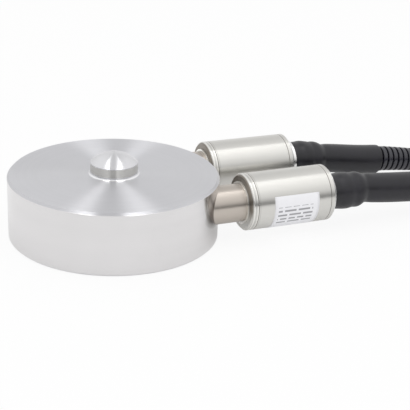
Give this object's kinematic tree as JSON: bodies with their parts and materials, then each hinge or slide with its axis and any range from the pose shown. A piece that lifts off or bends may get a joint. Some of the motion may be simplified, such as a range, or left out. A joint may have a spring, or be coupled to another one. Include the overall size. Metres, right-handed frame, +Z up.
{
  "type": "compression force transducer",
  "caption": "Low round steel force transducer with a domed load button, side-mounted amplifier cans, sleeved cables and round screw plugs.",
  "frame": {"origin": "centre of the base ring, on the surface that the body stands on", "axes": "+Z up along the load axis, +X along the amplifier cans and cables"},
  "size_m": [0.383, 0.0998, 0.0362],
  "materials": {
    "turned_steel": "turned satin stainless steel",
    "can_steel": "fine turned stainless steel",
    "stub_steel": "turned stainless steel with a weld tint",
    "circuit_board": "green solder mask",
    "component": "black moulded packages",
    "wire": "insulated strands",
    "seal_rubber": "black seal rubber",
    "sleeve_rubber": "matte shrink sleeve",
    "boot_rubber": "satin moulded rubber",
    "cable_jacket": "satin cable jacket",
    "strap": "black hook strap",
    "plug_plastic": "moulded black plastic",
    "contact_carrier": "black insulator",
    "contact_gold": "gilt contacts",
    "nut_nickel": "nickel-plated brass"
  },
  "bodies": {
    "transducer": {"spring_body": "turned_steel", "base_cover": "can_steel", "sensing_cell_1": "can_steel", "bridge_board_1": "circuit_board", "lead_bundle_1": "wire", "connection_stub_1": "stub_steel", "front_cap_1": "can_steel", "front_seal_1": "seal_rubber", "amplifier_tube_1": "can_steel", "amplifier_board_1": "circuit_board", "board_components_1": "component", "rear_cap_1": "can_steel", "rear_seal_1": "seal_rubber", "shrink_sleeve_1": "sleeve_rubber", "bend_protector_1": "boot_rubber", "inner_cable_1": "cable_jacket", "cable_lead_1": "cable_jacket", "cable_coil_1": "cable_jacket", "cable_tail_1": "cable_jacket", "coil_tie_1": "strap", "plug_grip_1": "plug_plastic", "plug_carrier_1": "contact_carrier", "plug_pins_1": "contact_gold", "plug_seal_1": "seal_rubber", "sensing_cell_2": "can_steel", "bridge_board_2": "circuit_board", "lead_bundle_2": "wire", "connection_stub_2": "stub_steel", "front_cap_2": "can_steel", "front_seal_2": "seal_rubber", "amplifier_tube_2": "can_steel", "amplifier_board_2": "circuit_board", "board_components_2": "component", "rear_cap_2": "can_steel", "rear_seal_2": "seal_rubber", "shrink_sleeve_2": "sleeve_rubber", "bend_protector_2": "boot_rubber", "inner_cable_2": "cable_jacket", "cable_lead_2": "cable_jacket", "cable_coil_2": "cable_jacket", "cable_tail_2": "cable_jacket", "coil_tie_2": "strap", "plug_grip_2": "plug_plastic", "plug_carrier_2": "contact_carrier", "plug_pins_2": "contact_gold", "plug_seal_2": "seal_rubber"},
    "nut_1": {"coupling_nut_1": "nut_nickel"},
    "nut_2": {"coupling_nut_2": "nut_nickel"}
  },
  "joints": [
    {"name": "nut_1_turn", "type": "hinge", "parent": "transducer", "child": "nut_1", "pos_m": [0.326, -0.0425, 0.0075], "axis": [1, 0, 0], "continuous": true},
    {"name": "nut_2_turn", "type": "hinge", "parent": "transducer", "child": "nut_2", "pos_m": [0.326, 0.0425, 0.0075], "axis": [1, 0, 0], "continuous": true}
  ]
}
